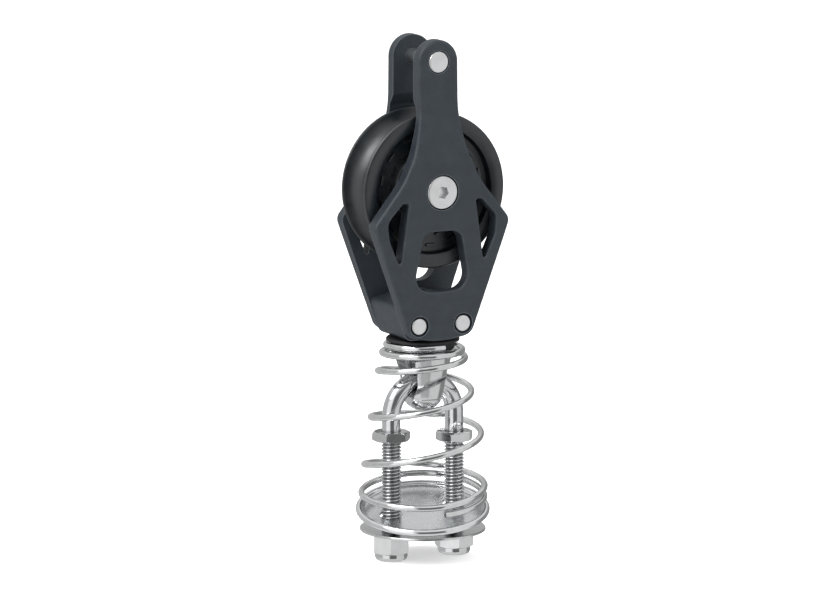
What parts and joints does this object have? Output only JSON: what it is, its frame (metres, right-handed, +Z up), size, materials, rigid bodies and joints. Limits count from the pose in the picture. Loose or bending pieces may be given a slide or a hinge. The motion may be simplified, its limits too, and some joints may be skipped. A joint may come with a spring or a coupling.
{
  "type": "single sheave block",
  "caption": "Single sheave block with becket ears, two forged side plates, grooved sheave and swivel eye on a U-bolt, held up by a conical spring on a deck base.",
  "frame": {"origin": "on the swivel axis at the underside of the base plate, which is the deck plane", "axes": "+Z up along the swivel axis, Y along the sheave's axle with the front plate at -Y, X along the rope"},
  "size_m": [0.045, 0.0382, 0.1512],
  "materials": {
    "anodised_charcoal": "satin, bead-blasted, charcoal hard anodised",
    "sheave_black": "semi-gloss moulded black",
    "bearing_plastic": "smooth black bearing plastic",
    "cap_black": "matt black moulded",
    "nylon_insert": "natural nylon",
    "steel_satin": "satin stainless",
    "steel_polished": "polished stainless",
    "steel_brushed": "pressed stainless, brushed inside with a polished lip"
  },
  "bodies": {
    "base": {"u_bolt": "steel_polished", "base_plate": "steel_brushed", "jam_nut_left": "steel_polished", "jam_nut_right": "steel_polished", "lock_nut_left": "steel_polished", "lock_nut_right": "steel_polished", "lock_insert_left": "nylon_insert", "lock_insert_right": "nylon_insert"},
    "dish": {"base_dish": "steel_brushed"},
    "spring": {"spring": "steel_polished"},
    "eye": {"swivel_eye": "steel_polished", "swivel_washer_upper": "bearing_plastic", "swivel_nut": "steel_satin", "spring_cap": "cap_black", "swivel_washer_lower": "bearing_plastic"},
    "block": {"side_plate_front": "anodised_charcoal", "side_plate_rear": "anodised_charcoal", "bearing_sleeve": "steel_satin", "side_washer_front": "bearing_plastic", "side_washer_rear": "bearing_plastic", "axle_screw": "steel_satin", "axle_barrel": "steel_satin", "becket_pin": "steel_satin", "head_block": "anodised_charcoal", "head_rivet_left": "steel_satin", "head_rivet_right": "steel_satin"},
    "sheave": {"sheave": "sheave_black", "sheave_bush": "bearing_plastic"}
  },
  "joints": [
    {"name": "dish_rock", "type": "hinge", "parent": "base", "child": "dish", "pos_m": [0, 0, 0.0062], "axis": [0.887, -0.4617, 0], "range_deg": [-11.5, 0]},
    {"name": "lean_side", "type": "hinge", "parent": "base", "child": "spring", "pos_m": [0, 0, 0.0338], "axis": [0, 1, 0], "range_deg": [-30, 30], "stiffness_Nm_per_rad": 1.5, "deforming": ["spring"]},
    {"name": "lean_fore_aft", "type": "hinge", "parent": "spring", "child": "eye", "pos_m": [0, 0, 0.044], "axis": [1, 0, 0], "range_deg": [-30, 30], "stiffness_Nm_per_rad": 1.5, "deforming": ["spring"]},
    {"name": "swivel", "type": "hinge", "parent": "eye", "child": "block", "pos_m": [0, 0, 0.0598], "axis": [0, 0, 1], "continuous": true},
    {"name": "sheave_spin", "type": "hinge", "parent": "block", "child": "sheave", "pos_m": [0, 0, 0.0998], "axis": [0, 1, 0], "continuous": true}
  ]
}
